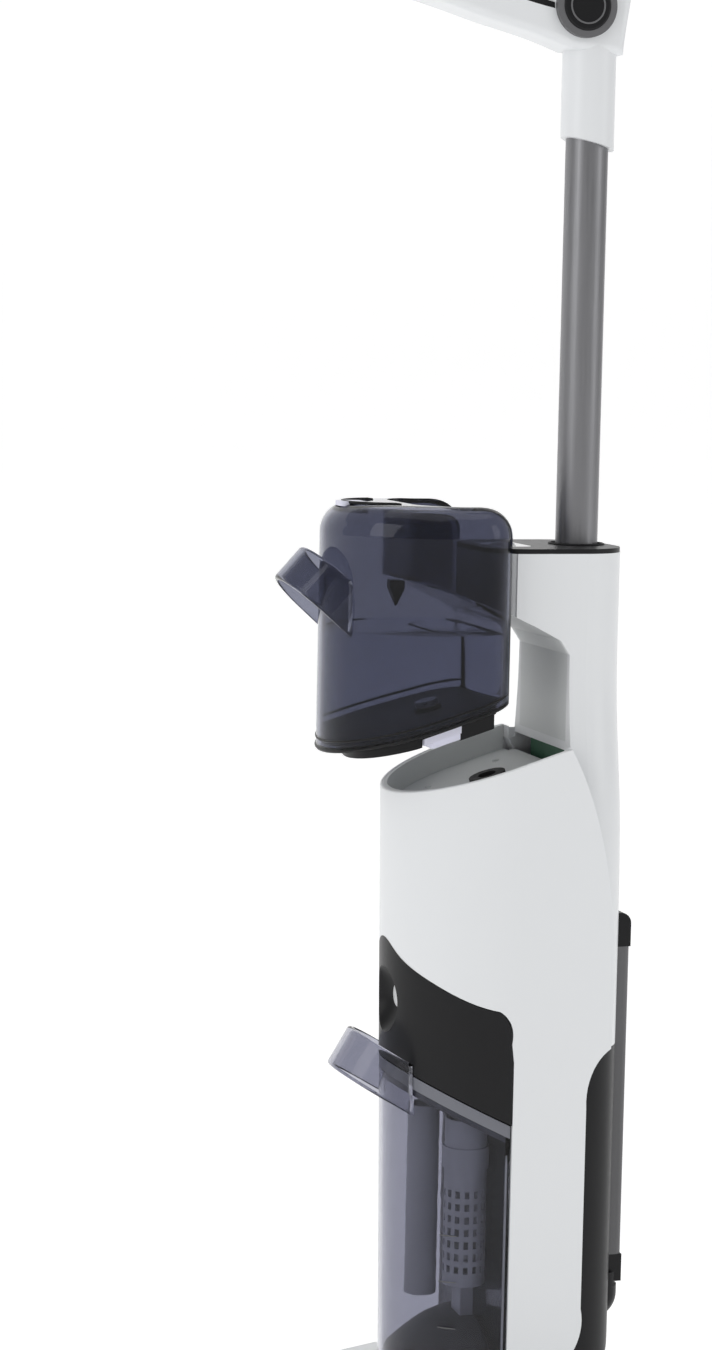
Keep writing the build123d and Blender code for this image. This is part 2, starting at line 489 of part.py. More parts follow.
GRIP_HW, GRIP_TILT = 34.0, 42.0
grip_tip = (TANK_X0 - 21.5, 606.0)
grip_c = Pos(grip_tip[0] + GRIP_HW * cos(radians(GRIP_TILT)), 0, grip_tip[1] - GRIP_HW * sin(radians(GRIP_TILT)))
grip_c = grip_c * Rot(0, GRIP_TILT, 0) * strap(GRIP_HW, 26, 3.2)
grip_c = (grip_c - tank_solid(0)) & slab(-140, TANK_X0 + 30, -60, 60, 540, 680)
save("clean_tank_grip", OUT * grip_c)


def under_tank(x0, x1, hw, t0, t1):
    pts = [(x0, tank_bottom(x0) - t0), (x1, tank_bottom(x1) - t0), (x1, tank_bottom(x1) - t1),
           (x0, tank_bottom(x0) - t1)]
    return across(side_face(pts), hw)


base_plug = under_tank(-30, 60, 53, 0, 3.4) & leaning(56, 62, 400, 600)
base_front = (under_tank(-30, 14, 48, 3.4, 9.5) & leaning(52, 62, 400, 600)) - under_tank(-9, 6, 18, 6.5, 10)
base_rear = under_tank(38, 60, 50, 3.4, 13)
tank_base = base_plug + base_front + base_rear + valve * Pos(0, 0, -1.4) * Cylinder(8, 17)
tank_base -= valve * Cylinder(4.05, 60)
save("clean_tank_base", OUT * tank_base)
tongue = under_tank(14, 38, 52, 3.4, 8) + under_tank(20, 38, 50, 8, 12.2)
tongue -= valve * Cylinder(9, 40)
save("clean_tank_tongue", OUT * tongue)
pin = valve * (Pos(0, 0, -1) * Cylinder(4, 17) + Pos(0, 0, 9.3) * Cylinder(6.5, 3.6))
save("clean_tank_valve_pin", OUT * pin)

# ================= dirty tank =================
def dirty_solid(inset, top_gap):
    body = leaning(DIRTY_R - inset, PANEL_X - 0.6 - inset, DIRTY_Z0 + inset, 360, 0, shift=-1.4)
    cut = side_face([(-80, 50), (60, 50), (60, band_z(60, BAND_LOW) - top_gap),
                     (-80, band_z(-80, BAND_LOW) - top_gap)])
    return body & across(cut, 90)


LID_T = 8.0
PIPE_X = 3.5
CAGE_X, CAGE_Y, CAGE_R, CAGE_TOP = 14.5, -30.0, 13.5, 280.0
dirty_shell = dirty_solid(0, 1.0 + LID_T) - dirty_solid(2.5, 1.0 + LID_T - 5)
save("dirty_tank_shell", dirty_shell)
lid = dirty_solid(0, 1.0) - dirty_solid(-1, 1.0 + LID_T)
lid += dirty_solid(2.6, 1.0 + LID_T) - dirty_solid(-1, 1.0 + LID_T + 4) - dirty_solid(5, 1.0 + LID_T - 1)
lid -= rod_z(CAGE_X, CAGE_Y, CAGE_R + 0.05, 200, 400)
save("dirty_tank_lid", lid)
TILT_D = 31.0
tip_d = (front_xc(310) - BODY_R - 29.0, 322.5)
grip_d = Pos(tip_d[0] + GRIP_HW * cos(radians(TILT_D)), 0, tip_d[1] - GRIP_HW * sin(radians(TILT_D)))
grip_d = grip_d * Rot(0, TILT_D, 0) * strap(GRIP_HW, 28, 3.2)
ahead = leaning(BODY_R + 0.6, 60, 200, 420)
grip_d = (grip_d - dirty_solid(0, 1.0) - (ahead & mid_slab(-80, 60, 80, 296, 420))) & slab(
    -140, PANEL_X - 30, -66, 66, 262, 360)
grip_d -= leaning(DIRTY_R - 1, 60, 200, 420)
save("dirty_tank_grip", grip_d)
pipe = rod_z(PIPE_X, 24, 10.5, 150, 276) - rod_z(PIPE_X, 24, 9, 149, 277)
pipe += slab(20.5, 29, -9, 9, 116, 262) - slab(22, 27.5, -7, 7, 115, 263)
save("dirty_tank_pipe", pipe)
cage = rod_z(CAGE_X, CAGE_Y, CAGE_R, 172, CAGE_TOP) - rod_z(CAGE_X, CAGE_Y, CAGE_R - 1.6, 174, CAGE_TOP + 1)
cage += rod_z(CAGE_X, CAGE_Y, CAGE_R + 1.2, 248, 262) - rod_z(CAGE_X, CAGE_Y, CAGE_R - 1.6, 240, 270)
for row in range(7):
    for k in range(14):
        cage -= Pos(CAGE_X, CAGE_Y, 183 + 8.2 * row) * Rot(0, 0, k * 360 / 14) * slab(
            CAGE_R - 3, CAGE_R + 1, -1.5, 1.5, -2.3, 2.3)
save("float_cage", cage)
save("float_ball", Pos(CAGE_X, CAGE_Y, 190) * Sphere(10.2))

# ================= handle =================
tube = rod_z(TUBE_X, 0, TUBE_R, 566, 930) - rod_z(TUBE_X, 0, TUBE_R - 1.5, 560, 926)
save("handle_tube", tube)
outline = [(107.5, 950), (112, 985), (113, 1012), (100, 1044), (56, 1062), (0, 1058), (-48, 1040),
           (-64, 1014), (-52, 991), (-19.4, 978.5), (16.8, 968.3), (43.3, 961.6), (73, 952)]
outer_curve = Spline(*outline)
outer = make_face([outer_curve, Line(outline[-1], outline[0])])


def inset_loop(depth, count=15):
    """Closed outline lying inside the handle outline by the given depth."""
    points = []
    for k in range(count):
        t = 0.07 + 0.85 * k / (count - 1)
        along = outer_curve % t
        points.append((outer_curve @ t) + Vector(-along.Y, along.X) * depth + Vector(0, 1.5))
    return make_face(Spline(*points, periodic=True))


BAND_W, LINING = 16.0, 4.5
inner, opening = inset_loop(BAND_W), inset_loop(BAND_W + LINING)
loop = across(outer, LOOP_HW)
long_edges = loop.faces().filter_by(Plane.XZ).edges()
loop = fillet(long_edges, 5)
loop -= across(inner, 40)
sleeve = rod_z(TUBE_X, 0, 17, 880, 962) - across(side_face(
    [(60, 860), (120, 860), (120, 887.5), (60, 902.5)]), 40)
loop = loop + sleeve + rod_y(HUB_X, HUB_Z, HUB_R, -LOOP_HW, LOOP_HW) - rod_z(TUBE_X, 0, TUBE_R, 870, 930)
lining = across(inner - opening, LOOP_HW - 1.5) - rod_y(HUB_X, HUB_Z, HUB_R, -30, 30)
BUTTONS = (("power_button", 44.0, 7.0), ("clean_button", 20.0, 5.5))
for node, x, r in BUTTONS:
    loop -= rod_z(x, 0, r + 0.05, 1052, 1090)
save("handle_loop", loop)
save("handle_lining", lining)
for node, x, r in BUTTONS:
    cap = rod_z(x, 0, r, 1055, 1063.5)
    save(node, fillet(cap.edges().group_by(Axis.Z)[-1], 1))
ring = rod_y(HUB_X, HUB_Z, HUB_R, LOOP_HW, 21) - rod_y(HUB_X, HUB_Z, 15.5, 10, 30)
save("hub_rings", both_sides(ring))
cap = rod_y(HUB_X, HUB_Z, 15.5, LOOP_HW, 22)
cap = fillet(cap.edges().group_by(Axis.Y)[-1], 1.5)
save("hub_caps", both_sides(cap))
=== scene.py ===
import bpy
import bmesh
import json
import math
import mathutils
from mathutils import Matrix, Vector


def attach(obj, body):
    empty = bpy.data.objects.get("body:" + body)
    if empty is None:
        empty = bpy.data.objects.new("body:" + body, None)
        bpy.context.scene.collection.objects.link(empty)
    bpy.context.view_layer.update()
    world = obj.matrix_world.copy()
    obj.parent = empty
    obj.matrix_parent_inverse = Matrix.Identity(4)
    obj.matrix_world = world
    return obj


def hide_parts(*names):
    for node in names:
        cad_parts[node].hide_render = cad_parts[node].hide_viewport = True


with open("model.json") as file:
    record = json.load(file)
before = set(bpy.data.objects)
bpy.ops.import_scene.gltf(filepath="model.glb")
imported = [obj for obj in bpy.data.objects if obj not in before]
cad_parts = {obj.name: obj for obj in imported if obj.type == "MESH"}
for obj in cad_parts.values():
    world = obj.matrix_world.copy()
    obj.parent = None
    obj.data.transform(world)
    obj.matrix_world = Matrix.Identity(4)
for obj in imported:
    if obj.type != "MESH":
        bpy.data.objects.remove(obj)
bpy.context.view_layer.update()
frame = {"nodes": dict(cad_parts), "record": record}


# ---------------------------------------------------------------- materials
def new_material(name):
    mat = bpy.data.materials.new(name)
    mat.use_nodes = True
    nt = mat.node_tree
    nt.nodes.clear()
    out = nt.nodes.new("ShaderNodeOutputMaterial")
    bsdf = nt.nodes.new("ShaderNodeBsdfPrincipled")
    nt.links.new(bsdf.outputs[0], out.inputs[0])
    return mat, nt, bsdf


def noise(nt, scale, detail=3.0, stretch=(1, 1, 1)):
    """Noise in the object's own coordinates, stretched along an axis where wanted."""
    coord = nt.nodes.new("ShaderNodeTexCoord")
    mapping = nt.nodes.new("ShaderNodeMapping")
    mapping.inputs["Scale"].default_value = stretch
    tex = nt.nodes.new("ShaderNodeTexNoise")
    tex.inputs["Scale"].default_value = scale
    tex.inputs["Detail"].default_value = detail
    nt.links.new(coord.outputs["Object"], mapping.inputs[0])
    nt.links.new(mapping.outputs[0], tex.inputs["Vector"])
    return tex.outputs["Fac"]


def ramp(nt, value, low, high, start=0.3, end=0.7):
    """Maps a texture value to a number between low and high."""
    node = nt.nodes.new("ShaderNodeMapRange")
    node.inputs["From Min"].default_value = start
    node.inputs["From Max"].default_value = end
    node.inputs["To Min"].default_value = low
    node.inputs["To Max"].default_value = high
    nt.links.new(value, node.inputs["Value"])
    return node.outputs[0]


def tinted(nt, bsdf, colour, spread, value):
    """Base colour that wanders a little between two shades."""
    mix = nt.nodes.new("ShaderNodeMix")
    mix.data_type = "RGBA"
    mix.inputs["A"].default_value = (*[c * (1 - spread) for c in colour], 1)
    mix.inputs["B"].default_value = (*[min(1, c * (1 + spread)) for c in colour], 1)
    nt.links.new(value, mix.inputs["Factor"])
    nt.links.new(mix.outputs["Result"], bsdf.inputs["Base Color"])
    return mix


def bump(nt, bsdf, height, strength, distance=0.0005):
    node = nt.nodes.new("ShaderNodeBump")
    node.inputs["Strength"].default_value = strength
    node.inputs["Distance"].default_value = distance
    nt.links.new(height, node.inputs["Height"])
    nt.links.new(node.outputs[0], bsdf.inputs["Normal"])


def plastic(name, colour, rough=0.35, spread=0.015, grain=900.0, depth=0.05, coat=0.0, spec=0.5):
    """Moulded plastic: fine mould texture, faint shade drift and slightly uneven gloss."""
    mat, nt, bsdf = new_material(name)
    broad = noise(nt, 14.0, 2.0)
    fine = noise(nt, grain, 4.0)
    tinted(nt, bsdf, colour, spread, broad)
    nt.links.new(ramp(nt, noise(nt, 220.0, 4.0), rough * 0.96, rough * 1.06), bsdf.inputs["Roughness"])
    bump(nt, bsdf, fine, depth, 0.0002)
    bsdf.inputs["Coat Weight"].default_value = coat
    bsdf.inputs["Coat Roughness"].default_value = 0.08
    bsdf.inputs["Specular IOR Level"].default_value = spec
    return mat


def clear_plastic(name, tint, rough=0.04):
    """Tinted see-through plastic with faint moulding ripple."""
    mat, nt, bsdf = new_material(name)
    tinted(nt, bsdf, tint, 0.03, noise(nt, 9.0, 2.0))
    nt.links.new(ramp(nt, noise(nt, 40.0, 3.0), rough * 0.8, rough * 1.4), bsdf.inputs["Roughness"])
    bsdf.inputs["Transmission Weight"].default_value = 1.0
    bsdf.inputs["IOR"].default_value = 1.3
    bump(nt, bsdf, noise(nt, 30.0, 2.0), 0.03, 0.0004)
    return mat


def metal(name, colour, rough=0.3, stretch=(1, 1, 0.03), depth=0.05):
    """Brushed or satin metal with drawn lines along the part's length."""
    mat, nt, bsdf = new_material(name)
    lines = noise(nt, 700.0, 3.0, stretch)
    tinted(nt, bsdf, colour, 0.05, lines)
    nt.links.new(ramp(nt, lines, rough * 0.8, rough * 1.25), bsdf.inputs["Roughness"])
    bsdf.inputs["Metallic"].default_value = 1.0
    bump(nt, bsdf, lines, depth, 0.0001)
    return mat


def rubber(name, colour, rough=0.75):
    mat, nt, bsdf = new_material(name)
    tinted(nt, bsdf, colour, 0.12, noise(nt, 30.0, 4.0))
    nt.links.new(ramp(nt, noise(nt, 300.0, 4.0), rough * 0.9, min(1, rough * 1.2)), bsdf.inputs["Roughness"])
    bump(nt, bsdf, noise(nt, 1400.0, 5.0), 0.2, 0.0003)
    return mat


def fleece(name, colour):
    """Short dense pile: mottled colour, soft sheen and a deep fibre bump."""
    mat, nt, bsdf = new_material(name)
    tufts = noise(nt, 420.0, 6.0)
    tinted(nt, bsdf, colour, 0.22, tufts)
    bsdf.inputs["Roughness"].default_value = 0.95
    bsdf.inputs["Sheen Weight"].default_value = 0.5
    bump(nt, bsdf, noise(nt, 900.0, 6.0), 0.7, 0.0012)
    return mat


MATERIALS = {
    "white": plastic("white_shell", (0.76, 0.775, 0.79), 0.34, 0.006, 1500.0, 0.03, 0.12, 0.4),
    "black": plastic("black_gloss", (0.008, 0.008, 0.009), 0.36, 0.05, spec=0.22),
    "black_matte": plastic("black_matte", (0.012, 0.012, 0.013), 0.55, 0.06, 1100.0, 0.12, spec=0.2),
    "grey_bay": plastic("grey_bay", (0.66, 0.68, 0.68), 0.5, 0.03, 800.0, 0.08, spec=0.3),
    "grey_dark": plastic("grey_dark", (0.115, 0.115, 0.12), 0.5, 0.04, 900.0, 0.10),
    "tube_metal": metal("tube_metal", (0.24, 0.24, 0.25), 0.38),
    "tank_smoke": clear_plastic("tank_smoke", (0.235, 0.245, 0.31)),
    "tank_clear": clear_plastic("tank_clear", (0.46, 0.465, 0.53)),
    "tongue_light": plastic("tongue_light", (0.72, 0.72, 0.84), 0.3, 0.02),
    "lid_grey": plastic("lid_grey", (0.15, 0.155, 0.18), 0.35, 0.03),
    "basket_grey": plastic("basket_grey", (0.60, 0.61, 0.65), 0.45, 0.03),
    "rubber": rubber("rubber", (0.018, 0.018, 0.018)),
    "tyre_rubber": rubber("tyre_rubber", (0.03, 0.03, 0.032), 0.8),
    "fleece": fleece("fleece", (0.20, 0.23, 0.28)),
    "core_plastic": plastic("core_plastic", (0.05, 0.05, 0.055), 0.5),
    "steel": metal("steel", (0.6, 0.6, 0.6), 0.3, (1, 1, 1)),
    "brass": metal("brass", (0.75, 0.55, 0.25), 0.3, (1, 1, 1)),
    "board_green": plastic("board_green", (0.02, 0.12, 0.06), 0.5, 0.2, 500.0, 0.3),
    "cell_wrap": plastic("cell_wrap", (0.05, 0.18, 0.38), 0.3, 0.05),
    "display": plastic("display", (0.006, 0.006, 0.008), 0.08, 0.05, coat=0.6),
    "silver": plastic("silver", (0.62, 0.63, 0.64), 0.28, 0.02, coat=0.2),
}
record = frame["record"]
node_slots = {s["node"]: s["material_slot"] for s in record["subparts"]}
for node, obj in frame["nodes"].items():
    obj.data.materials.clear()
    obj.data.materials.append(MATERIALS[node_slots[node]])
    for poly in obj.data.polygons:
        poly.use_smooth = True


# ---------------------------------------------------------------- added pieces
MM = 0.001
TANK_MOVED = (-40.5, 26.0)          # the clean tank stands this far from its seat, in mm
BODY_HALF, NOSE_X = 66.0, 33.0
TANK_FRONT, TANK_REAR, TANK_GAP = -38, 71, 1   # clean tank in its seat, and its clearance over the rim
WATER_LEVEL = 590.0
ROLLER_X, ROLLER_Z = -99, 27
WHEEL_X, WHEEL_Y, WHEEL_R = 112, 106.0, 20.0
REAR_FACE, PLATE_TOP, KEY_TOP = 112, 642.6, 1063.5
HUB_X, HUB_Z = 80, 978.5


def add_piece(name, verts, faces, body, slot, material=None):
    """A closed mesh, given in millimetres, that moves with a body."""
    bm = bmesh.new()
    made = [bm.verts.new((x * MM, y * MM, z * MM)) for x, y, z in verts]
    for face in faces:
        bm.faces.new([made[i] for i in face])
    bmesh.ops.recalc_face_normals(bm, faces=bm.faces)
    mesh = bpy.data.meshes.new(name)
    bm.to_mesh(mesh)
    bm.free()
    mesh.materials.append(material or MATERIALS[slot])
    for poly in mesh.polygons:
        poly.use_smooth = True
    obj = bpy.data.objects.new(name, mesh)
    bpy.context.scene.collection.objects.link(obj)
    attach(obj, body)
    return obj


def skin(rings, loop=False):
    """Vertices and faces over rings with equal counts; open rows get end caps."""
    n, m = len(rings[0]), len(rings)
    faces = []
    for i in range(m if loop else m - 1):
        a, b = i * n, ((i + 1) % m) * n
        faces += [(a + k, a + (k + 1) % n, b + (k + 1) % n, b + k) for k in range(n)]
    if not loop:
        faces += [tuple(reversed(range(n))), tuple(range((m - 1) * n, m * n))]
    return [p for ring in rings for p in ring], faces


def join(*parts):
    """Several (vertices, faces) pairs as one."""
    verts, faces = [], []
    for v, f in parts:
        faces += [tuple(i + len(verts) for i in face) for face in f]
        verts += v
    return verts, faces


def bead(path, radius, closed=False, sides=10):
    """Round bead along a path of points."""
    pts = [Vector(p) for p in path]
    rings, side = [], None
    for k, p in enumerate(pts):
        before = pts[k - 1] if closed or k else p
        after = pts[(k + 1) % len(pts)] if closed or k < len(pts) - 1 else p
        along = (after - before).normalized()
        if side is None:
            side = along.orthogonal().normalized()
        side = (side - along * side.dot(along)).normalized()
        up = along.cross(side)
        taper = 1.0 if closed or 0 < k < len(pts) - 1 else 0.55
        rings.append([tuple(p + (side * math.cos(t) + up * math.sin(t)) * radius * taper)
                      for t in (2 * math.pi * j / sides for j in range(sides))])
    return skin(rings, closed)


def turned(profile, centre, axis, count=64):
    """Revolves (radius, height) points about an axis through a centre."""
    rings = []
    for r, h in profile:
        ring = []
        for k in range(count):
            c, s = math.cos(2 * math.pi * k / count) * r, math.sin(2 * math.pi * k / count) * r
            local = {"x": (h, c, s), "y": (c, h, s), "z": (c, s, h)}[axis]
            ring.append(tuple(a + b for a, b in zip(centre, local)))
        rings.append(ring)
    return skin(rings)


def pill(centre, size, axis="x", lift=0.35, sides=6):
    """Rounded low bar lying in the plane across an axis: (length, width), with soft edges."""
    length, width = size

    def ring(inset, height):
        r = max(width / 2 - inset, 0.05)
        half = length / 2 - width / 2
        pts = []
        for end, turn in ((half, -0.5), (-half, 0.5)):
            pts += [(end + r * math.cos(math.pi * (turn + k / sides)),
                     r * math.sin(math.pi * (turn + k / sides))) for k in range(sides + 1)]
        return [tuple(a + b for a, b in zip(centre, {
            "x": (height, u, v), "y": (u, height, v), "z": (u, v, height)}[axis])) for u, v in pts]

    return skin([ring(0.15, -lift), ring(0, 0), ring(0, lift * 0.6), ring(0.25, lift)])


def nose_outline(radius, centre_x, rear_x, count=48):
    """Open path along a D outline, from the rear of one side around the front to the other."""
    arc = [(centre_x - radius * math.cos(t), -radius * math.sin(t))
           for t in (math.pi * (0.5 - k / count) for k in range(count + 1))]
    steps = 8
    side = [(rear_x + (centre_x - rear_x) * k / steps, -radius) for k in range(steps)]
    back = [(x, -y) for x, y in reversed(side)]
    return side + arc + back


def d_ring(radius, centre_x, rear_x, corner, height, inset=0.0, count=40):
    """Closed D ring with rounded rear corners; height is a function of x."""
    r, rear, c = radius - inset, rear_x - inset, max(corner - inset, 1)
    pts = [(centre_x - r * math.cos(t), -r * math.sin(t))
           for t in (math.pi * (0.5 - k / count) for k in range(count + 1))]
    for sy in (1, -1):
        turn = [(rear - c + c * math.sin(t), sy * (r - c + c * math.cos(t)))
                for t in (math.pi / 2 * k / 8 for k in range(9))]
        pts += turn if sy == 1 else list(reversed(turn))
    return [(x, y, height(x)) for x, y in pts]


def rim_height(x):
    """Height of the body's sloping rim."""
    return 487.0 + 0.32 * (x + 34.0)


def fleece_pile():
    """Roller sleeve: dense tufts standing on the core, laid in a shallow spiral."""
    around, along = 200, 210
    half, core = 122.0, 19.05
    rows = [(25.0 - 0.35 * k, half) for k in range(1, 16)]

    def tuft(x, y, z):
        return mathutils.noise.noise(Vector((x, y, z)) * 0.55) + 0.6 * mathutils.noise.noise(
            Vector((x, y, z)) * 1.3 + Vector((7, 3, 1)))

    rings = []
    profile = [(core, -half)] + [(r, -half) for r, _ in reversed(rows)]
    profile += [(None, -half + 2 * half * k / along) for k in range(along + 1)]
    profile += rows + [(core, half)]
    for r, y in profile:
        ring = []
        for k in range(around):
            a = 2 * math.pi * k / around
            n = tuft(26 * math.cos(a), y * 0.9, 26 * math.sin(a))
            radius, depth = r, y
            if r is None:
                edge = min(1.0, (half - abs(y)) / 2.5)
                swirl = 0.25 * math.sin(6 * a + y * 0.16)
                radius = 25.2 + 0.9 * math.sqrt(edge) + 0.55 * n + 0.35 * swirl
                radius = min(radius, 27.2)
            elif r > core + 0.5:
                depth = y + math.copysign(0.35 * n, y)
            ring.append((ROLLER_X + radius * math.cos(a), depth, ROLLER_Z + radius * math.sin(a)))
        rings.append(ring)
    pile = add_piece("fleece_pile", *skin(rings, loop=True), "roller", "fleece")
    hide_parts("brush_fleece")


def felt_pads():
    """Two stitched felt glides under the front of the head."""
    made = []
    for side in (-1, 1):
        rings = []
        layers = [(6.5, 0.0), (5.0, 0.0), (3.5, 0.0), (2.0, 0.0), (0.6, 0.1), (0.0, 0.7), (0.1, 3.0),
                  (0.1, 5.5), (0.3, 7.9)]
        for inset, z in layers:
            ring = []
            for k in range(72):
                a = 2 * math.pi * k / 72
                c, s = math.cos(a), math.sin(a)
                reach_x, reach_y = 7.0 - inset * 0.98, 13.0 - inset * 0.98
                x = math.copysign(abs(c) ** 0.45, c) * reach_x
                y = math.copysign(abs(s) ** 0.45, s) * reach_y
                rough = mathutils.noise.noise(Vector((x, y, z)) * 1.4 + Vector((0, side * 30, 0)))
                ring.append((-51 + x + 0.12 * rough * c, side * 105 + y + 0.12 * rough * s,
                             z + (0.18 * (rough + 0.7) if z < 0.5 else 0)))
            rings.append(ring)
        made.append(skin(rings))
    pads = add_piece("felt_glides", *join(*made), "head", "fleece")
    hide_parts("glide_pads")


def treaded_tyres():
    """Rubber tyres with cross grooves and a rounded shoulder."""
    for name, y0 in (("left", -WHEEL_Y), ("right", WHEEL_Y)):
        shoulder = [(15.0, 12), (17.0, 12), (18.6, 11.6), (19.6, 10.6), (WHEEL_R, 9)]
        profile = [(r, -h) for r, h in shoulder]
        profile += [(WHEEL_R, -9 + 18 * k / 12) for k in range(1, 12)]
        profile += reversed(shoulder)
        rings, around = [], 144
        for r, h in profile:
            ring = []
            for k in range(around):
                groove = r > 19.5 and (k + int(abs(h) // 3)) % 8 < 2 and abs(h) < 11
                middle = r > 19.9 and abs(h) < 0.8
                radius = r - (0.8 if groove or middle else 0.0)
                a = 2 * math.pi * k / around
                ring.append((WHEEL_X + radius * math.cos(a), y0 + h, WHEEL_R + radius * math.sin(a)))
            rings.append(ring)
        tyre = add_piece("tyre_tread_" + name, *skin(rings, loop=True), "wheel_" + name, "tyre_rubber")
        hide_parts("wheel_tyre_" + name)


def tank_water():
    """Water standing in the clean tank, level with a thin meniscus at the wall."""
    dx, dz = TANK_MOVED
    centre, rear = TANK_FRONT + BODY_HALF + dx, 65.7 + dx

    def floor(x):
        return rim_height(x - dx) + TANK_GAP + 2.9 + dz

    rings = [d_ring(63.25, centre, rear, 22, lambda x, i=i, up=up: floor(x) + up, i)
             for i, up in ((40, 0.0), (20, 0.0), (2, 0.0), (0.5, 0.5), (0, 2.0))]
    rings += [d_ring(63.25, centre, rear, 22, lambda x, z=z: z, i)
              for i, z in ((0, WATER_LEVEL - 8), (0, WATER_LEVEL + 0.5), (0.5, WATER_LEVEL + 0.3),
                           (1.6, WATER_LEVEL), (20, WATER_LEVEL), (40, WATER_LEVEL))]
    mat, nt, bsdf = new_material("tank_water")
    tinted(nt, bsdf, (0.86, 0.88, 0.95), 0.02, noise(nt, 12.0, 2.0))
    nt.links.new(ramp(nt, noise(nt, 20.0, 2.0), 0.0, 0.02), bsdf.inputs["Roughness"])
    bump(nt, bsdf, noise(nt, 45.0, 2.0), 0.02, 0.0004)
    bsdf.inputs["Transmission Weight"].default_value = 1.0
    bsdf.inputs["IOR"].default_value = 1.12
    add_piece("tank_water", *skin(rings), "clean_tank", None, mat)


def clean_tank_trim():
    """Seams that stop short of the saddle slot, an inner floor, the top rib and a level tooth."""
    dx, dz = TANK_MOVED
    centre = TANK_FRONT + BODY_HALF + dx
    rear = TANK_REAR + dx

    def above_bottom(up):
        return lambda x: rim_height(x - dx) + TANK_GAP + up + dz

    for name, lift, radius in (("tank_base_seam", 7.0, 0.8), ("tank_low_edge", 1.2, 1.0)):
        path = d_ring(BODY_HALF - 0.2, centre, rear - 0.2, 25, above_bottom(lift))
        path = [p for p in path[-9:] + path[:-9] if abs(p[1]) > 52 or p[0] < 50 + dx]
        add_piece(name, *bead(path, radius), "clean_tank", "black")
    floor = [d_ring(62.6, centre, 65 + dx, 22, above_bottom(up), i)
             for i, up in ((1, 2.6), (0, 3.0), (0, 3.6), (1, 4.0))]
    add_piece("tank_inner_floor", *skin(floor), "clean_tank", "grey_dark")
    rib = [(dx + 15 - 28 * math.cos(a) - 12, 30 * math.sin(a), 643.2 + dz)
           for a in (math.pi * (-0.5 + k / 24) for k in range(25))]
    add_piece("tank_top_rib", *bead(rib, 1.1), "clean_tank", "black")
    tooth = [[(dx + x, y, z + dz) for x, y in ((6, -6), (14, -6), (14, 6), (6, 6))] for z in (589, 594)]
    tooth.insert(0, [(dx + x, y, 578 + dz) for x, y in ((9.6, -1), (10.4, -1), (10.4, 1), (9.6, 1))])
    add_piece("tank_level_tooth", *skin(tooth), "clean_tank", "black")


def dirty_tank_trim():
    """Sump dome on the floor of the tank, corner rails and level marks."""

    def part_circle(radius, z):
        centre, rear = 35.0, 28.6
        reach = math.acos((centre - rear) / radius)
        return [(centre - radius * math.cos(t), -radius * math.sin(t), z)
                for t in (reach - 2 * reach * k / 47 for k in range(48))]

    dome = [part_circle(61.0 - 44 * k / 12, 116.2 + 26 * math.sin(math.pi / 2 * k / 12)) for k in range(13)]
    add_piece("dirty_sump_dome", *skin([part_circle(61.0, 115.8)] + dome), "dirty_tank", "grey_dark")
    rails = [bead([(30.4, sy * 61.2, z) for z in range(118, 266, 6)], 0.9) for sy in (-1, 1)]
    add_piece("dirty_tank_rails", *join(*rails), "dirty_tank", "basket_grey")
    marks = [bead([(NOSE_X - 1 - 64.2 * math.cos(t), -64.2 * math.sin(t), z) for t in
                   (math.pi * (0.28 + 0.06 * k / 8) for k in range(9))], 0.45) for z in (150, 180, 210)]
    add_piece("dirty_level_marks", *join(*marks), "dirty_tank", "grey_dark")


def body_trim():
    """Rim lip, exhaust, screws with painted shade in their cross recesses, collar ring, display marks and
    the studs in the tray.
    """
    outline = [(x, y, rim_height(x) - 0.5) for x, y in nose_outline(BODY_HALF - 1.25, NOSE_X - 2.1, 65)]
    add_piece("rim_lip", *bead(outline, 1.15), "body", "white")
    slots = [pill((REAR_FACE - 0.1, 0, 412 + 6.5 * k), (46, 2.6)) for k in range(1, 9)]
    add_piece("exhaust_slots", *join(*slots), "body", "black_matte")
    frame_path = [(REAR_FACE - 0.1, 28 * math.copysign(abs(math.cos(a)) ** 0.4, math.cos(a)),
                   441.5 + 30 * math.copysign(abs(math.sin(a)) ** 0.4, math.sin(a)))
                  for a in (2 * math.pi * k / 64 for k in range(64))]
    add_piece("exhaust_frame", *bead(frame_path, 0.7, closed=True), "body", "grey_bay")
    heads, painted_recess_shade = [], []
    for y, z in ((0, 612), (0, 545), (-22, 500), (22, 500)):
        heads.append(turned([(3.2, -0.4), (3.2, 0.2), (2.6, 0.6), (0.4, 0.6)], (REAR_FACE, y, z), "x", 28))
        # black crosses raised on the steel screw heads are painted shade standing for the cross recesses
        painted_recess_shade += [pill((112.6, y, z), (3.4, 0.7), lift=0.15)]
        painted_recess_shade += [bead([(112.6, y, z - 1.5), (112.6, y, z + 1.5)], 0.3)]
    add_piece("back_screws", *join(*heads), "body", "steel")
    add_piece("back_screw_recess_painted_shade", *join(*painted_recess_shade), "body", "black_matte")
    ring = [(90 + 17.2 * math.cos(a), 17.2 * math.sin(a), 642.8)
            for a in (2 * math.pi * k / 48 for k in range(48))]
    add_piece("collar_ring", *bead(ring, 0.9, closed=True), "body", "black_matte")
    dial = [(40 + 8 * math.cos(a), 8 * math.sin(a), PLATE_TOP)
            for a in (2 * math.pi * k / 48 for k in range(40))]
    bars = [pill((40, -15 + 3 * k, PLATE_TOP), (7 - k, 1.2), "z", 0.2) for k in range(3)]
    add_piece("display_marks", *join(bead(dial, 0.5), *bars), "body", "silver")
    studs = [turned([(2.6, -1.5), (2.6, 0.4), (2.0, 0.9), (0.4, 0.9)], (x, y, rim_height(x) - 16), "z", 24)
             for x, y in ((4, 30), (4, -30), (52, 36), (52, -36))]
    add_piece("tray_studs", *join(*studs), "body", "grey_bay")


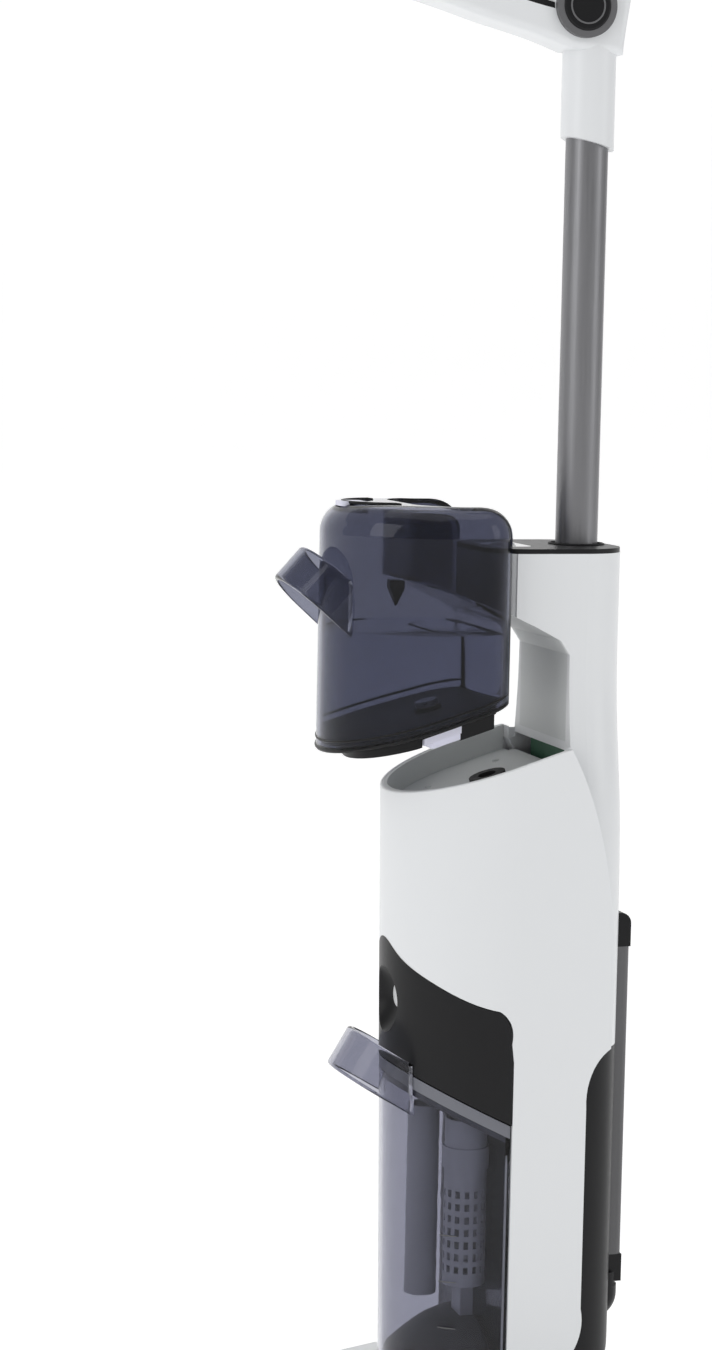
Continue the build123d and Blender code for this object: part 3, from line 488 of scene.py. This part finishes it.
def battery_trim():
    """Upright ribs and a row of charge lamps on the outer face."""
    ribs = [bead([(122.6, y, z) for z in range(196, 381, 8)], 0.8) for y in (-24, -18, -12, 12, 18, 24)]
    add_piece("battery_ribs", *join(*ribs), "battery", "grey_dark")
    lamps = [pill((122.55, -6 + 4 * k, 372), (2.4, 1.4), lift=0.2) for k in range(4)]
    add_piece("battery_lamps", *join(*lamps), "battery", "silver")


def handle_trim():
    """Grooves in the hub caps and the marks on the two keys."""
    for side in (-1, 1):
        tag = "left" if side < 0 else "right"
        ring = [(HUB_X + 11 * math.cos(a), side * 22.0, HUB_Z + 11 * math.sin(a))
                for a in (2 * math.pi * k / 48 for k in range(48))]
        add_piece("hub_groove_" + tag, *bead(ring, 0.6, closed=True), "handle", "grey_dark")
    power = [(44 + 3 * math.cos(a), 3 * math.sin(a), KEY_TOP) for a in
             (math.pi * (0.15 + 1.7 * k / 30) for k in range(31))]
    stroke = bead([(44, 0.0, KEY_TOP), (47.5, 0.0, KEY_TOP)], 0.35)
    add_piece("power_mark", *join(bead(power, 0.35), stroke), "power_key", "grey_dark")
    drop = [(20 + 2.6 * math.cos(a), 2.6 * math.sin(a), KEY_TOP) for a in
            (2 * math.pi * k / 32 for k in range(32))]
    add_piece("clean_mark", *bead(drop, 0.35, closed=True), "clean_key", "grey_dark")


def head_trim():
    """Ribs, lamp bar and cooling slots on the head's cover, and a frame on the roller cover."""
    ridge = ((-59, 57.8), (-30, 70.6), (10, 76.6), (33, 75.6))
    lines = [bead([(x, y, z) for x, z in ridge], 0.8) for y in (-122, -60, 60, 122)]
    add_piece("head_cover_ribs", *join(*lines), "head", "white")
    lamp = [(-44, -52 + 104 * k / 20, 64.4) for k in range(21)]
    add_piece("head_lamp", *bead(lamp, 1.6), "head", "silver")
    hatch = [bead([(14 + 5 * k, side * 92, 76.1), (14 + 5 * k, side * 112, 76.1)], 0.7)
             for side in (-1, 1) for k in range(6)]
    add_piece("head_cooling_slots", *join(*hatch), "head", "grey_dark")
    arc = [(ROLLER_X + 31.7 * math.cos(t), ROLLER_Z + 31.7 * math.sin(t)) for t in
           (math.radians(95 + 60 * k / 12) for k in range(13))]
    frames = [bead([(x, y, z) for x, z in arc], 0.7) for y in (-118, 118)]
    frames += [bead([(x, -118 + 236 * k / 30, z) for k in range(31)], 0.7) for x, z in (arc[0], arc[-1])]
    add_piece("cover_window_frame", *join(*frames), "roller_cover", "black")


fleece_pile()
felt_pads()
treaded_tyres()
tank_water()
clean_tank_trim()
dirty_tank_trim()
body_trim()
battery_trim()
handle_trim()
head_trim()


# ---------------------------------------------------------------- stage, light and camera
def stage_floor():
    """A pale floor that curves up far behind the machine."""
    bm = bmesh.new()
    depth, rise, steps = 9.0, 6.0, 16
    rows = [(-14.0, 0.0), (depth - 2.5, 0.0)]
    rows += [(depth - 2.5 + 2.5 * math.sin(a), 2.5 - 2.5 * math.cos(a))
             for a in (math.pi / 2 * k / steps for k in range(1, steps + 1))]
    rows.append((depth, 2.5 + rise))
    line = [[bm.verts.new((x, y, z)) for x in (-16, 16)] for y, z in rows]
    for a, b in zip(line, line[1:]):
        bm.faces.new((a[0], a[1], b[1], b[0]))
    mesh = bpy.data.meshes.new("studio_floor")
    bm.to_mesh(mesh)
    bm.free()
    obj = bpy.data.objects.new("studio_floor", mesh)
    bpy.context.scene.collection.objects.link(obj)
    mat, nt, bsdf = new_material("studio_floor")
    tinted(nt, bsdf, (0.90, 0.90, 0.90), 0.01, noise(nt, 0.6, 2.0))
    bsdf.inputs["Roughness"].default_value = 0.9
    bsdf.inputs["Emission Color"].default_value = (1, 1, 1, 1)
    bsdf.inputs["Emission Strength"].default_value = 0.42
    mesh.materials.append(mat)
    for poly in mesh.polygons:
        poly.use_smooth = True


def area_light(name, place, aim, size, power):
    light = bpy.data.lights.new(name, "AREA")
    light.shape = "RECTANGLE"
    light.size, light.size_y = size
    light.energy = power
    obj = bpy.data.objects.new(name, light)
    obj.location = place
    obj.rotation_mode = "QUATERNION"
    obj.rotation_quaternion = (Vector(aim) - Vector(place)).to_track_quat("-Z", "Y")
    bpy.context.scene.collection.objects.link(obj)


def make_camera():
    """Camera at the picture's angle: just above the middle, seen from the front left."""
    azimuth, pitch, roll = math.radians(17.0), math.radians(6.3), math.radians(1.1)
    place = Vector((-0.6038, -1.7931, 0.7672))
    ahead = Vector((math.sin(azimuth) * math.cos(pitch), math.cos(azimuth) * math.cos(pitch),
                    -math.sin(pitch)))
    right = Vector((math.cos(azimuth), -math.sin(azimuth), 0))
    up = right.cross(ahead)
    right, up = (right * math.cos(roll) + up * math.sin(roll), up * math.cos(roll) - right * math.sin(roll))
    cam = bpy.data.cameras.new("camera")
    cam.lens, cam.sensor_width = 80.0, 36.0
    obj = bpy.data.objects.new("camera", cam)
    obj.matrix_world = Matrix((
        (right.x, up.x, -ahead.x, place.x), (right.y, up.y, -ahead.y, place.y),
        (right.z, up.z, -ahead.z, place.z), (0, 0, 0, 1)))
    bpy.context.scene.collection.objects.link(obj)
    bpy.context.scene.camera = obj


stage_floor()
area_light("key_left", (-2.6, -1.2, 1.9), (0, 0, 0.6), (1.6, 2.4), 22)
area_light("fill_right", (2.4, -1.6, 1.6), (0, 0, 0.6), (1.2, 2.2), 10)
area_light("top", (0.2, 0.2, 3.2), (0, 0, 0.5), (2.4, 2.4), 14)
world = bpy.data.worlds.new("studio")
world.use_nodes = True
sky = world.node_tree.nodes["Background"]
sky.inputs[0].default_value = (1, 1, 1, 1)
seen = world.node_tree.nodes.new("ShaderNodeLightPath")
level = world.node_tree.nodes.new("ShaderNodeMapRange")
level.inputs["To Min"].default_value, level.inputs["To Max"].default_value = 0.50, 1.0
world.node_tree.links.new(seen.outputs["Is Camera Ray"], level.inputs["Value"])
world.node_tree.links.new(level.outputs[0], sky.inputs[1])
bpy.context.scene.world = world
bpy.context.scene.view_settings.view_transform = "Standard"
make_camera()
